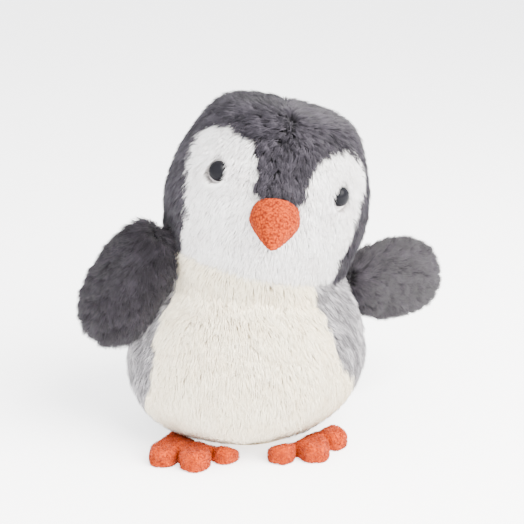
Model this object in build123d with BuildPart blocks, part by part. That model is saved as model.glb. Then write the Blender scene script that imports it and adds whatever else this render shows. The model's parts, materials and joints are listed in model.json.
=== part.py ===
from build123d import *
import os
from math import cos, radians, sin

# A sitting plush penguin: fur-cloth panels sewn over stuffing, with snap-in eyes, a padded beak,
# two flippers and two three-toed feet. Millimetres and degrees. +Z is up and the toy faces -Y, so
# its own left is +X. The origin is the middle of the flat base, on the surface it sits on.
# "left" and "right" in every name are the toy's own.

# Cloth and seams
plush_thickness = 5.0  # backing cloth with its standing pile
fleece_thickness = 1.6  # short cloth of the feet
beak_cloth_thickness = 1.4
joint_gap = 0.6  # between two pieces that move against each other

# Torso: a pear turned about the vertical axis
base_radius = 22.0
hip_radius = 52.0
hip_height = 19.0
belly_radius = 59.5
belly_height = 41.0
shoulder_radius = 45.5
shoulder_height = 76.0
collar_radius = 38.5  # where the pear's outline ends, inside the head
collar_height = 112.0
belly_seam_angle = 55.0  # from straight ahead to each belly seam

# Bag of pellets that weights the seat
pellet_bag_radius = 31.0
pellet_bag_height = 17.0
pellet_bag_floor = 6.5  # height of the bag's underside
pellet_cloth_thickness = 0.6
pellet_bag_roundness = 0.42  # edge radius as a share of the bag's height

# Neck: the head sits on the torso along a tilted plane
neck_offset = 4.4  # of the neck's middle towards the toy's left
neck_height = 92.0
head_tilt = 13.0  # of the head's own axis towards the toy's left
face_turn = -2.5  # of the face about the head's own axis, from straight ahead

# Head: a dome turned about its own axis, heights from the neck plane
head_skirt_radius = 38.0  # where the dome's outline ends, inside the torso
head_skirt_depth = 9.0
cheek_radius = 48.0
cheek_height = 30.0
brow_radius = 36.0
brow_height = 65.0
head_height = 77.5

# Face panel, seen from the front of the head: two lobes round the eyes and a chin
lobe_spacing = 29.0  # from the middle of the face to the middle of a lobe
lobe_half_width = 15.0
lobe_half_height = 21.0
lobe_height = 43.0
chin_half_width = 37.0
brow_point_height = 37.0  # lowest point of the dark brow, on top of the beak

# Snap-in eyes
eye_angle = 41.0  # to each side of straight ahead
eye_height = 42.5
eye_pitch = 8.0  # upward lean of the eye's axis
eye_radius = 4.75
eye_dome = 4.2
eye_sink = 2.4  # depth of the eye's rim below the tips of the pile
eye_stem_radius = 1.6
eye_stem_length = 12.0
eye_washer_radius = 7.0
eye_washer_thickness = 1.2

# Beak: a rounded cone sewn on the face
beak_height = 27.0
beak_droop = 28.0
beak_radius = 10.8
beak_length = 16.0  # from the cheek's outline to the tip
beak_tip_radius = 4.0
beak_root = 12.0  # length of the cone's body that is cut away by the face

# Flippers: egg-shaped pads, each turning about a hinge at its root
flipper_length = 60.0
flipper_width = 39.0
flipper_thickness = 15.0
flipper_root = 9.0  # from the hinge back to the root's edge
flipper_widest = 0.56  # share of the length from the root to the widest place
right_flipper_height = 98.6
right_flipper_angle = -73.0  # of the hinge, seen from above, from straight ahead
right_flipper_inset = 9.2  # of the hinge from the belly's outline
right_flipper_plane = (-31.6, 14.0, 241.3)  # heading and lift of the pad's face, roll in its plane
left_flipper_height = 70.8
left_flipper_angle = 98.1
left_flipper_inset = -2.3
left_flipper_plane = (33.7, 14.1, -2.6)

# Feet: flat three-toed pads under the front of the belly
foot_height = 9.0
foot_edge_radius = 3.2
edge_share = 0.47  # most of a pad's height that its rounded edge may take
heel_radius = 11.0
middle_toe_reach = 26.5  # from the middle of the heel
middle_toe_radius = 7.0
side_toe_reach = 20.5
side_toe_spread = 15.0
side_toe_radius = 6.2
web_radius = 0.6
foot_clearance = 3.4  # under the torso, for the foot's flexing
right_foot_x = -29.0
right_foot_y = -20.5
right_foot_splay = 0.0
left_foot_x = 18.0
left_foot_y = -19.0
left_foot_splay = 24.0

tool_size = 400.0  # larger than the toy, for blocks that cut it
outline_steps = 12  # spans of a turned outline


def turned(points, plane, axis, tangents, inset):
    """Turns the outline through these points about the axis, with its skin set back by inset."""
    outline = Spline(points, tangents=tangents)
    skin = []
    for step in range(outline_steps + 1):
        along = outline % (step / outline_steps)
        inward = Vector(-along.Y, along.X, 0)
        skin.append(outline @ (step / outline_steps) + inward * inset)
    with BuildPart() as form:
        with BuildSketch(plane):
            with BuildLine():
                Spline(skin, tangents=tangents)
                if points[-1][0] > 0:
                    Line(skin[-1], (0, skin[-1].Y))
                Polyline((0, skin[-1].Y), (0, skin[0].Y), skin[0])
            make_face()
        revolve(axis=axis)
    return form.part


# ---------------------------------------------------------------- torso

torso_section = Plane.XZ
torso_axis = Axis.Z
torso_outline = (
    (base_radius, 0),
    (hip_radius, hip_height),
    (belly_radius, belly_height),
    (shoulder_radius, shoulder_height),
    (collar_radius, collar_height),
)


def torso_form(inset=0.0):
    return turned(torso_outline, torso_section, torso_axis, ((1, 0.22), (-0.1, 1)), inset)


neck_axis = Vector(sin(radians(head_tilt)), 0, cos(radians(head_tilt)))
neck_across = Vector(cos(radians(head_tilt)), 0, -sin(radians(head_tilt))).rotate(
    Axis((0, 0, 0), neck_axis), face_turn
)
neck_plane = Plane(origin=(neck_offset, 0, neck_height), x_dir=neck_across, z_dir=neck_axis)
torso_rim = neck_plane.offset(-joint_gap / 2)
head_rim = neck_plane.offset(joint_gap / 2)

with BuildPart() as torso_outside:
    add(torso_form())
    split(bisect_by=torso_rim, keep=Keep.BOTTOM)

with BuildPart() as torso_inside:
    add(torso_form(plush_thickness))
    split(bisect_by=torso_rim, keep=Keep.BOTTOM)

seam_reach = tool_size * sin(radians(belly_seam_angle))
seam_front = tool_size * cos(radians(belly_seam_angle))
with BuildPart() as belly_wedge:
    with BuildSketch():
        with BuildLine():
            Polyline((-seam_reach, -seam_front), (0, 0), (seam_reach, -seam_front), close=True)
        make_face()
    extrude(amount=tool_size)

with BuildPart() as base_panel:
    with BuildSketch():
        Circle(base_radius)
    extrude(amount=plush_thickness)
base_panel.part.label = "base_panel"

with BuildPart() as torso_skin:
    add(torso_outside.part)
    add(torso_inside.part, mode=Mode.SUBTRACT)
    add(base_panel.part, mode=Mode.SUBTRACT)

with BuildPart() as belly_panel:
    add(torso_skin.part)
    add(belly_wedge.part, mode=Mode.INTERSECT)
belly_panel.part.label = "belly_panel"

back_panels = {}
for side, kept in (("left", Keep.TOP), ("right", Keep.BOTTOM)):
    with BuildPart() as back_panel:
        add(torso_skin.part)
        add(belly_wedge.part, mode=Mode.SUBTRACT)
        split(bisect_by=Plane.YZ, keep=kept)
    back_panel.part.label = f"back_panel_{side}"
    back_panels[side] = back_panel.part


def bag_form(radius, height, floor):
    """A flat round-edged bag on the torso's axis, with its underside at this height."""
    with BuildPart() as bag:
        with BuildSketch(Plane.XY.offset(floor)):
            Circle(radius)
        extrude(amount=height)
        fillet(bag.edges(), pellet_bag_roundness * height)
    return bag.part


with BuildPart() as pellet_fill:
    add(
        bag_form(
            pellet_bag_radius - pellet_cloth_thickness,
            pellet_bag_height - 2 * pellet_cloth_thickness,
            pellet_bag_floor + pellet_cloth_thickness,
        )
    )
pellet_fill.part.label = "pellet_fill"

with BuildPart() as pellet_bag:
    add(bag_form(pellet_bag_radius, pellet_bag_height, pellet_bag_floor))
    add(pellet_fill.part, mode=Mode.SUBTRACT)
pellet_bag.part.label = "pellet_bag"

with BuildPart() as body_stuffing:
    add(torso_inside.part)
    add(base_panel.part, mode=Mode.SUBTRACT)
    add(bag_form(pellet_bag_radius, pellet_bag_height, pellet_bag_floor), mode=Mode.SUBTRACT)
body_stuffing.part.label = "body_stuffing"

# ---------------------------------------------------------------- head

head_section = Plane(origin=neck_plane.origin, x_dir=neck_across, z_dir=neck_across.cross(neck_axis))
head_axis = Axis(neck_plane.origin, neck_axis)
head_outline = (
    (head_skirt_radius, -head_skirt_depth),
    (cheek_radius, cheek_height),
    (brow_radius, brow_height),
    (0, head_height),
)


def head_form(inset=0.0):
    return turned(head_outline, head_section, head_axis, ((0.5, 1), (-1, 0)), inset)


with BuildPart() as head_outside:
    add(head_form())
    split(bisect_by=head_rim, keep=Keep.TOP)

with BuildPart() as head_inside:
    add(head_form(plush_thickness))
    split(bisect_by=head_rim, keep=Keep.TOP)


def on_head(angle, height, radius):
    """A point in the head's own frame: angle from straight ahead, height above the neck plane."""
    around = Vector(radius * sin(radians(angle)), -radius * cos(radians(angle)), height)
    return neck_plane.from_local_coords(around)


def head_radius_at(height):
    """The dome's radius at this height above the neck plane."""
    slice_plane = neck_plane.offset(height)
    ring = head_outside.part.intersect(slice_plane)
    return neck_plane.to_local_coords(Compound(ring.faces())).bounding_box().max.X


# Eyes, with their stems and washers. Each axis leaves the head at the eye's angle and pitch.
eye_seat_radius = head_radius_at(eye_height) - eye_sink
washer_depth = plush_thickness - eye_sink + eye_washer_thickness
eyes = {}
eye_washers = {}
eye_pockets = {}
for side, turn in (("left", 1), ("right", -1)):
    seat = on_head(turn * eye_angle, eye_height, eye_seat_radius)
    ahead = Vector(
        turn * sin(radians(eye_angle)) * cos(radians(eye_pitch)),
        -cos(radians(eye_angle)) * cos(radians(eye_pitch)),
        sin(radians(eye_pitch)),
    )
    eye_direction = (neck_plane.from_local_coords(ahead) - neck_plane.origin).normalized()
    eye_plane = Plane(origin=seat, z_dir=eye_direction)
    eye_section = Plane(origin=seat, x_dir=eye_plane.x_dir, z_dir=-eye_plane.y_dir)

    with BuildPart() as eye:
        with BuildSketch(eye_section):
            with BuildLine():
                Spline((eye_radius, 0), (0, eye_dome), tangents=((0, 1), (-1, 0)))
                Polyline(
                    (0, eye_dome),
                    (0, -eye_stem_length),
                    (eye_stem_radius, -eye_stem_length),
                    (eye_stem_radius, 0),
                    (eye_radius, 0),
                )
            make_face()
        revolve(axis=Axis(seat, eye_direction))
    eye.part.label = f"eye_{side}"
    eyes[side] = eye.part

    with BuildPart() as eye_washer:
        with BuildSketch(eye_plane.offset(-washer_depth)):
            Circle(eye_washer_radius)
            Circle(eye_stem_radius, mode=Mode.SUBTRACT)
        extrude(amount=-eye_washer_thickness)
    eye_washer.part.label = f"eye_washer_{side}"
    eye_washers[side] = eye_washer.part

    with BuildPart() as eye_pocket:
        with BuildSketch(eye_plane):
            Circle(eye_radius)
        extrude(amount=eye_sink + eye_dome)
    eye_pockets[side] = eye_pocket.part

# Beak: a rounded cone on the face, its own axis drooping from the head's front
beak_root_point = on_head(0, beak_height, head_radius_at(beak_height))
beak_ahead = Vector(0, -cos(radians(beak_droop)), -sin(radians(beak_droop)))
beak_direction = (neck_plane.from_local_coords(beak_ahead) - neck_plane.origin).normalized()
beak_section = Plane(origin=beak_root_point, x_dir=neck_across, z_dir=neck_across.cross(beak_direction))


def beak_form(inset=0.0):
    """The cone, set back by inset, and cut off where it meets the face."""
    with BuildPart() as cone:
        with BuildSketch(beak_section):
            with BuildLine():
                flank = Spline(
                    (beak_radius - inset, -beak_root),
                    (beak_radius - inset, 0),
                    (beak_tip_radius - inset / 2, beak_length - beak_tip_radius / 2 - inset),
                    (0, beak_length - inset),
                    tangents=((0, 1), (-1, 0)),
                )
                Line(flank @ 1, (0, -beak_root))
                Line((0, -beak_root), flank @ 0)
            make_face()
        revolve(axis=Axis(beak_root_point, beak_direction))
        add(head_outside.part, mode=Mode.SUBTRACT)
    return cone.part


with BuildPart() as beak_stuffing:
    add(beak_form(beak_cloth_thickness))
beak_stuffing.part.label = "beak_stuffing"

beak_covers = {}
for name, kept in (("beak_upper", Keep.TOP), ("beak_lower", Keep.BOTTOM)):
    with BuildPart() as beak_cover:
        add(beak_form())
        add(beak_stuffing.part, mode=Mode.SUBTRACT)
        split(bisect_by=beak_section, keep=kept)
    beak_cover.part.label = name
    beak_covers[name] = beak_cover.part

# Head panels: the pale face, cut to its outline, and the two dark halves of the crown
with BuildPart() as face_outline:
    with BuildSketch(head_section):
        with Locations((-lobe_spacing, lobe_height), (lobe_spacing, lobe_height)):
            Ellipse(lobe_half_width, lobe_half_height)
        with BuildLine():
            Polyline(
                (-chin_half_width, -head_skirt_depth),
                (chin_half_width, -head_skirt_depth),
                (lobe_spacing + lobe_half_width, lobe_height),
                (lobe_spacing - lobe_half_width, lobe_height),
                (0, brow_point_height),
                (lobe_half_width - lobe_spacing, lobe_height),
                (-lobe_spacing - lobe_half_width, lobe_height),
                close=True,
            )
        make_face()
    extrude(amount=tool_size)

with BuildPart() as head_skin:
    add(head_outside.part)
    add(head_inside.part, mode=Mode.SUBTRACT)
    for side in eyes:
        add(eyes[side], mode=Mode.SUBTRACT)
        add(eye_washers[side], mode=Mode.SUBTRACT)
        add(eye_pockets[side], mode=Mode.SUBTRACT)

with BuildPart() as face_panel:
    add(head_skin.part)
    add(face_outline.part, mode=Mode.INTERSECT)
face_panel.part.label = "face_panel"

crowns = {}
for side, kept in (("left", Keep.TOP), ("right", Keep.BOTTOM)):
    with BuildPart() as crown:
        add(head_skin.part)
        add(face_outline.part, mode=Mode.SUBTRACT)
        split(bisect_by=Plane(origin=neck_plane.origin, z_dir=neck_across), keep=kept)
    crown.part.label = f"crown_{side}"
    crowns[side] = crown.part

with BuildPart() as head_stuffing:
    add(head_inside.part)
    for side in eyes:
        add(eyes[side], mode=Mode.SUBTRACT)
        add(eye_washers[side], mode=Mode.SUBTRACT)
head_stuffing.part.label = "head_stuffing"

# ---------------------------------------------------------------- flippers


def torso_radius_at(height):
    """The uncut pear's radius at this height."""
    ring = torso_form().intersect(Plane.XY.offset(height))
    return Compound(ring.faces()).bounding_box().max.X


def egg(length, width, thickness, root, turn=360):
    """An egg-shaped pad, hinge at the origin, tip towards +X, turned about X whole or part way."""
    widest = flipper_widest * length - root
    with BuildPart() as pad:
        with BuildSketch():
            with BuildLine():
                back = EllipticalCenterArc((widest, 0), widest + root, width / 2, 90, arc_size=90)
                front = EllipticalCenterArc((widest, 0), length - root - widest, width / 2, arc_size=90)
                Line(back @ 1, front @ 0)
            make_face()
        revolve(axis=Axis.X, revolution_arc=turn)
        scale(by=(1, 1, thickness / width))
    return pad.part


flippers = {}
for side, height, angle, inset, (heading, lift, roll) in (
    ("left", left_flipper_height, left_flipper_angle, left_flipper_inset, left_flipper_plane),
    ("right", right_flipper_height, right_flipper_angle, right_flipper_inset, right_flipper_plane),
):
    beside_belly = belly_radius - inset
    beside_shoulder = torso_radius_at(height) + flipper_root + joint_gap
    hinge_radius = max(beside_belly, beside_shoulder)
    hinge = Vector(hinge_radius * sin(radians(angle)), -hinge_radius * cos(radians(angle)), height)
    pad_normal = Vector(
        sin(radians(heading)) * cos(radians(lift)),
        -cos(radians(heading)) * cos(radians(lift)),
        sin(radians(lift)),
    )
    pad_level = Vector(cos(radians(heading)), sin(radians(heading)), 0)
    pad_along = pad_level.rotate(Axis((0, 0, 0), pad_normal), roll)
    pad_plane = Plane(origin=hinge, x_dir=pad_along, z_dir=pad_normal)

    outer_egg = (flipper_length, flipper_width, flipper_thickness, flipper_root)
    inner_egg = (
        flipper_length - 2 * plush_thickness,
        flipper_width - 2 * plush_thickness,
        flipper_thickness - 2 * plush_thickness,
        flipper_root - plush_thickness,
    )
    with BuildPart() as flipper_stuffing:
        add(pad_plane.location * egg(*inner_egg))
    flipper_stuffing.part.label = f"flipper_{side}_stuffing"
    flippers[flipper_stuffing.part.label] = flipper_stuffing.part

    for face, turn in (("front", 180), ("back", -180)):
        with BuildPart() as flipper_cover:
            add(pad_plane.location * egg(*outer_egg, turn))
            add(pad_plane.location * egg(*inner_egg, turn), mode=Mode.SUBTRACT)
        flipper_cover.part.label = f"flipper_{side}_{face}"
        flippers[flipper_cover.part.label] = flipper_cover.part

# ---------------------------------------------------------------- feet


def foot_form(plane, height, inset=0.0):
    """The three-toed outline, set back by inset and raised to this height, toes to the plane's +X."""
    with BuildPart() as pad:
        with BuildSketch(plane):
            Circle(heel_radius - inset)
            for reach, spread, radius in (
                (middle_toe_reach, 0, middle_toe_radius),
                (side_toe_reach, side_toe_spread, side_toe_radius),
                (side_toe_reach, -side_toe_spread, side_toe_radius),
            ):
                SlotCenterPoint((reach / 2, spread / 2), (reach, spread), 2 * (radius - inset))
            beside_middle_toe = vertices().sort_by(lambda corner: abs(corner.Y))[:4]
            fillet(beside_middle_toe.sort_by(Axis.X)[:2], web_radius)
        extrude(amount=height)
        fillet(edges().group_by(Axis.Z)[-1], min(foot_edge_radius, edge_share * height))
    return pad.part


feet = {}
for side, heel_x, heel_y, splay in (
    ("left", left_foot_x, left_foot_y, left_foot_splay),
    ("right", right_foot_x, right_foot_y, right_foot_splay),
):
    toes_ahead = (sin(radians(splay)), -cos(radians(splay)), 0)
    foot_plane = Plane(origin=(heel_x, heel_y, 0), x_dir=toes_ahead, z_dir=(0, 0, 1))

    with BuildPart() as foot_stuffing:
        stuffing_plane = foot_plane.offset(fleece_thickness)
        add(foot_form(stuffing_plane, foot_height - 2 * fleece_thickness, fleece_thickness))
        add(torso_form(-foot_clearance - fleece_thickness), mode=Mode.SUBTRACT)
    foot_stuffing.part.label = f"foot_{side}_stuffing"
    feet[foot_stuffing.part.label] = foot_stuffing.part

    with BuildPart() as foot_outside:
        add(foot_form(foot_plane, foot_height))
        add(torso_form(-foot_clearance), mode=Mode.SUBTRACT)

    with BuildPart() as foot_sole:
        add(foot_outside.part)
        split(bisect_by=Plane.XY.offset(fleece_thickness), keep=Keep.BOTTOM)
    foot_sole.part.label = f"foot_{side}_sole"
    feet[foot_sole.part.label] = foot_sole.part

    with BuildPart() as foot_top:
        add(foot_outside.part)
        split(bisect_by=Plane.XY.offset(fleece_thickness), keep=Keep.TOP)
        add(foot_stuffing.part, mode=Mode.SUBTRACT)
    foot_top.part.label = f"foot_{side}_top"
    feet[foot_top.part.label] = foot_top.part

# ---------------------------------------------------------------- files

pieces = [
    base_panel.part,
    belly_panel.part,
    *back_panels.values(),
    pellet_bag.part,
    pellet_fill.part,
    body_stuffing.part,
    face_panel.part,
    *crowns.values(),
    head_stuffing.part,
    *eyes.values(),
    *eye_washers.values(),
    *beak_covers.values(),
    beak_stuffing.part,
    *flippers.values(),
    *feet.values(),
]
os.makedirs("parts", exist_ok=True)
for piece in pieces:
    export_step(piece, f"parts/{piece.label}.step")
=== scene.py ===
import json
import math

import bmesh
import bpy
import numpy as np
from bpy.props import FloatProperty, FloatVectorProperty, IntProperty, PointerProperty
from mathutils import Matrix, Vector, kdtree, noise


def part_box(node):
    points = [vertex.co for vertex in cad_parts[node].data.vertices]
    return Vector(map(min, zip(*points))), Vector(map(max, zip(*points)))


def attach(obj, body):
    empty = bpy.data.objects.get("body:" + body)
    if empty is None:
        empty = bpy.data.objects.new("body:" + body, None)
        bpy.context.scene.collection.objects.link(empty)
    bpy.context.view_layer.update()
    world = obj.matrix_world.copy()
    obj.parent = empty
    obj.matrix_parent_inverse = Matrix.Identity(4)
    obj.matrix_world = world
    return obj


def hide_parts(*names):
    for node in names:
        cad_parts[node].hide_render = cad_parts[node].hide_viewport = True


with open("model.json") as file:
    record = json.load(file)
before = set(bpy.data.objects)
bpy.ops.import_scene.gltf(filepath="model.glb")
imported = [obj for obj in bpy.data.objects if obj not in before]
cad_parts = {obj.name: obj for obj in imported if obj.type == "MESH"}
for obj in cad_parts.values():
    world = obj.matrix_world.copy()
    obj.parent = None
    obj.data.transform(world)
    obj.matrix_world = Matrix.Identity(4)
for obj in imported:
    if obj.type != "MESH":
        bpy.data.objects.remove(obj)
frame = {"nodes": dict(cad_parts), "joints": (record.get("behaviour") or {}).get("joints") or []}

bl_info = {
    "name": "Plush penguin",
    "version": (1, 0, 0),
    "blender": (4, 5, 0),
    "location": "View3D > Sidebar > Plush penguin",
    "description": "Fur, cloth, eyes, beak and feet of a sitting plush penguin, round its measured frame",
    "category": "Object",
}

MM = 0.001
SIDES = ("left", "right")  # the toy's own
SIGNS = {"left": 1, "right": -1}  # of a turn or a place beside the middle
TUCKED = 0.06  # share of a cloth's length that is tucked in at the neck
NECK_PILE = 14 * MM  # distance from the neck over which the pile is pressed thin
SEAT_LIFT = 4.5 * MM  # how far the front of the seat rides up over the feet
FLOOR_GAP = 0.6 * MM  # between the floor and the lowest strands of the body
DOME_PILE = 3.2 * MM  # more depth for the cloth on top of the head, where the pile stands up
FLOW_SIZE = 16 * MM  # distance over which the flow of a pile changes
LEAN_SIZE = 9 * MM  # distance over which the lean of a pile changes
STRAND_CORNERS = 7  # three at the root, three at the middle and one at the tip
PRISM_TURNS = [corner * 2 * math.pi / 3 for corner in range(3)]  # of a strand's three sides
ROOT_DEPTH = 0.4 * MM  # how far a strand starts below its cloth
ROOT_TUCK = 5 * MM  # how much deeper a flipper's root goes into the body than its panels do
FLEECE_FLOOR = 0.1 * MM  # height of the lowest fuzz of the feet
BACKING_GRAIN = 900  # cells of a backing cloth in one metre
BACKING_BUMP = 0.1 * MM
BOUCLE_GRAIN, BOUCLE_BUMP = 1100, 0.25 * MM
FLEECE_GRAIN, FLEECE_BUMP = 1300, 0.2 * MM
PLASTIC_GRAIN, PLASTIC_BUMP = 1500, 0.01 * MM
HEAD_RISE = 77 * MM  # of the dome above the neck, along the head's axis
EYE_RISE = 42 * MM  # of the eyes' middles above the neck
EYE_CLEARANCE = {"roots": 5.4 * MM, "tips": 4.3 * MM}  # from an eye's middle to the face's pile
PARTING = 5 * MM  # half the width of the crown's parting
CROWN_SPREAD = 40 * MM  # distance from the parting at which the pile no longer flows outward
DOME_START, DOME_BLEND = 55 * MM, 20 * MM  # where the pile turns from flowing down to flowing back
BROW_HALF, BROW_TOP = 14 * MM, 62 * MM  # the dark brow, where the pile flows straight down
FLOOR_SIDE = 12  # metres
FLOOR_DROP = 0.05 * MM  # how far the floor lies below the seat
SEEDS = {"belly": 101, "back": 103, "face": 201, "crown": 203, "flipper": 301, "foot": 401}


# ---- settings


def length_setting(name, description, default):
    return FloatProperty(name=name, description=description, default=default, min=0, unit="LENGTH")


def angle_setting(name, description, degrees):
    return FloatProperty(name=name, description=description, default=math.radians(degrees), unit="ROTATION")


def share_setting(name, description, default):
    return FloatProperty(name=name, description=description, default=default, min=0, max=1, subtype="FACTOR")


def colour_setting(name, description, default):
    return FloatVectorProperty(
        name=name, description=description, default=default, min=0, max=1, size=3, subtype="COLOR"
    )


def pile_length(default):
    return length_setting("Pile length", "Length of a full strand, along its curve", default)


def strand_width(default):
    return length_setting("Strand width", "Width of a strand at its root", default)


def strand_count(default):
    return IntProperty(name="Strands", description="Number of strands in one piece of pile", default=default)


def root_lean(degrees):
    return angle_setting("Root lean", "Lean of a strand at its root, from straight up", degrees)


def tip_lean(degrees):
    return angle_setting("Tip lean", "Lean of a strand at its tip, from straight up", degrees)


def lock_width(default):
    return length_setting("Lock width", "Distance between the locks that strands gather into", default)


def gathering(default):
    return share_setting("Gathering", "How far the tips of a lock draw together", default)


def wander(degrees):
    return angle_setting("Wander", "How far the flow of the pile strays from its heading", degrees)


class CrownPile(bpy.types.PropertyGroup):
    """Long charcoal pile of the crown"""

    length: pile_length(8.4 * MM)
    width: strand_width(0.34 * MM)
    strands: strand_count(19800)
    lean: root_lean(34)
    tip_lean: tip_lean(70)
    lock: lock_width(3.8 * MM)
    gather: gathering(0.52)
    wander: wander(24)


class FacePile(bpy.types.PropertyGroup):
    """White pile of the face"""

    length: pile_length(7.0 * MM)
    width: strand_width(0.28 * MM)
    strands: strand_count(19800)
    lean: root_lean(38)
    tip_lean: tip_lean(74)
    lock: lock_width(2.6 * MM)
    gather: gathering(0.25)
    wander: wander(16)


class BodyPile(bpy.types.PropertyGroup):
    """Cream pile of the belly and silver pile of the back"""

    length: pile_length(8.0 * MM)
    width: strand_width(0.34 * MM)
    strands: strand_count(19800)
    lean: root_lean(38)
    tip_lean: tip_lean(76)
    lock: lock_width(3.0 * MM)
    gather: gathering(0.28)
    wander: wander(20)


class FlipperPile(bpy.types.PropertyGroup):
    """Long charcoal pile of a flipper"""

    length: pile_length(8.6 * MM)
    width: strand_width(0.34 * MM)
    strands: strand_count(19800)
    lean: root_lean(34)
    tip_lean: tip_lean(68)
    lock: lock_width(3.8 * MM)
    gather: gathering(0.52)
    wander: wander(24)


class FootPile(bpy.types.PropertyGroup):
    """Short fuzz of the fleece feet"""

    length: pile_length(1.0 * MM)
    width: strand_width(0.22 * MM)
    strands: strand_count(15000)
    lean: root_lean(10)
    tip_lean: tip_lean(60)
    lock: lock_width(1.1 * MM)
    gather: gathering(0.6)
    wander: wander(180)


class BodyShape(bpy.types.PropertyGroup):
    """Cloth of the seated body"""

    depth: length_setting("Pile depth", "Depth of the backing cloth below the tips of the pile", 3.6 * MM)
    seam_seat: angle_setting("Seat seams", "Turn from straight ahead to a belly seam, at the seat", 71)
    seam_hip: angle_setting("Hip seams", "Turn from straight ahead to a belly seam, at the hip", 58)
    seam_left: angle_setting("Left seam", "Turn from straight ahead to the left seam, at the belly", 45)
    seam_right: angle_setting("Right seam", "Turn from straight ahead to the right seam, at the belly", 54)
    shoulder_left: angle_setting("Left shoulder", "Turn to the left seam, at the neck", 36)
    shoulder_right: angle_setting("Right shoulder", "Turn to the right seam, at the neck", 63)


class HeadShape(bpy.types.PropertyGroup):
    """Outline of the white face, on the front of the head"""

    depth: length_setting("Pile depth", "Depth of the backing cloth below the tips of the pile", 3.0 * MM)
    lobe_spacing: length_setting("Lobe spacing", "From the middle of the face to the middle of a lobe", 28.5 * MM)
    lobe_width: length_setting("Lobe half width", "Half the width of the lobe round an eye", 16.5 * MM)
    lobe_height: length_setting("Lobe half height", "Half the height of the lobe round an eye", 18.5 * MM)
    lobe_rise: length_setting("Lobe rise", "From the neck to the middle of a lobe", 42 * MM)
    chin_width: length_setting("Chin half width", "Half the width of the face at the neck", 38 * MM)
    brow_rise: length_setting("Brow point", "From the neck to the lowest point of the dark brow", 29 * MM)


class BeakShape(bpy.types.PropertyGroup):
    """Padded beak"""

    rise: length_setting("Rise", "From the neck to the middle of the beak's root", 28 * MM)
    droop: angle_setting("Droop", "Angle of the beak below the front of the head", 36)
    radius: length_setting("Radius", "Half the width of the beak's root", 11.4 * MM)
    length: length_setting("Length", "From the cheek to the tip", 16.5 * MM)
    root: length_setting("Root", "Length of the beak that is buried in the pile", 6 * MM)
    nub: length_setting("Nub height", "Height of the cloth's nubs", 0.55 * MM)
    nub_size: length_setting("Nub size", "Distance between the cloth's nubs", 1.9 * MM)
    flatness: share_setting("Flatness", "Height of the beak as a share of its width", 0.8)


class Colours(bpy.types.PropertyGroup):
    """Colours of the cloths, each from root to tip"""

    # Each root colour darkens the lower part of its strands and the backing cloth seen between them: painted
    # shade deep in the pile.
    charcoal_root: colour_setting("Charcoal root", "Charcoal pile at its root", (0.010, 0.009, 0.012))
    charcoal_dark: colour_setting("Charcoal dark", "Darkest charcoal strands", (0.018, 0.016, 0.021))
    charcoal_light: colour_setting("Charcoal light", "Lightest charcoal strands", (0.056, 0.050, 0.062))
    flipper_root: colour_setting("Flipper root", "Pile of a flipper at its root", (0.010, 0.009, 0.012))
    flipper_dark: colour_setting("Flipper dark", "Darkest strands of a flipper", (0.013, 0.011, 0.014))
    flipper_light: colour_setting("Flipper light", "Lightest strands of a flipper", (0.036, 0.031, 0.039))
    white_root: colour_setting("White root", "White pile at its root", (0.50, 0.46, 0.45))
    white_dark: colour_setting("White dark", "Darkest white strands", (0.80, 0.77, 0.76))
    white_light: colour_setting("White light", "Lightest white strands", (0.98, 0.975, 0.97))
    cream_root: colour_setting("Cream root", "Cream pile at its root", (0.60, 0.46, 0.31))
    cream_dark: colour_setting("Cream dark", "Darkest cream strands", (0.92, 0.82, 0.63))
    cream_light: colour_setting("Cream light", "Lightest cream strands", (0.99, 0.92, 0.74))
    silver_root: colour_setting("Silver root", "Silver pile at its root", (0.085, 0.080, 0.087))
    silver_dark: colour_setting("Silver dark", "Darkest silver strands", (0.165, 0.158, 0.168))
    silver_light: colour_setting("Silver light", "Lightest silver strands", (0.56, 0.54, 0.555))
    # The beak's dark and light are shaded and lit copies of one orange: painted shade between the nubs, painted
    # light on them.
    beak_painted_shade: colour_setting("Beak dark", "Beak cloth between its nubs", (0.085, 0.006, 0.0002))
    beak_painted_light: colour_setting("Beak light", "Beak cloth on its nubs", (0.29, 0.033, 0.0005))
    # Foot dark fills the hollows of the fleece's grain and the roots of its fuzz, painted shade; it is also the
    # darkest of the fuzz strands.
    foot_dark: colour_setting("Foot dark", "Darkest fleece of the feet", (0.24, 0.020, 0.0004))
    foot_light: colour_setting("Foot light", "Lightest fleece of the feet", (0.46, 0.054, 0.0008))
    eye: colour_setting("Eye", "Eye plastic", (0.004, 0.004, 0.005))
    floor: colour_setting("Floor", "Floor", (0.93, 0.93, 0.93))


class Stage(bpy.types.PropertyGroup):
    """Camera and studio light"""

    heading: angle_setting("Heading", "Camera's turn round the toy from straight ahead", -6)
    elevation: angle_setting("Elevation", "Camera's angle above the horizon", 17)
    distance: length_setting("Distance", "From the camera to the point it looks at", 600 * MM)
    aim: FloatVectorProperty(
        name="Aim",
        description="Point the camera looks at",
        default=(7.4 * MM, -5 * MM, 88 * MM),
        size=3,
        subtype="TRANSLATION",
        unit="LENGTH",
    )
    lens: FloatProperty(name="Lens", description="Focal length of the lens", default=84, unit="CAMERA")
    key_power: FloatProperty(name="Key light", description="Power of the large light", default=82, unit="POWER")
    fill_power: FloatProperty(
        name="Fill light", description="Power of the light on the other side", default=8, unit="POWER"
    )
    floor_glow: FloatProperty(
        name="Floor glow", description="Light given off by the pale floor", default=1.7, subtype="UNSIGNED"
    )
    sky: FloatProperty(
        name="Sky", description="Strength of the light from all round", default=2.6, subtype="UNSIGNED"
    )


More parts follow.
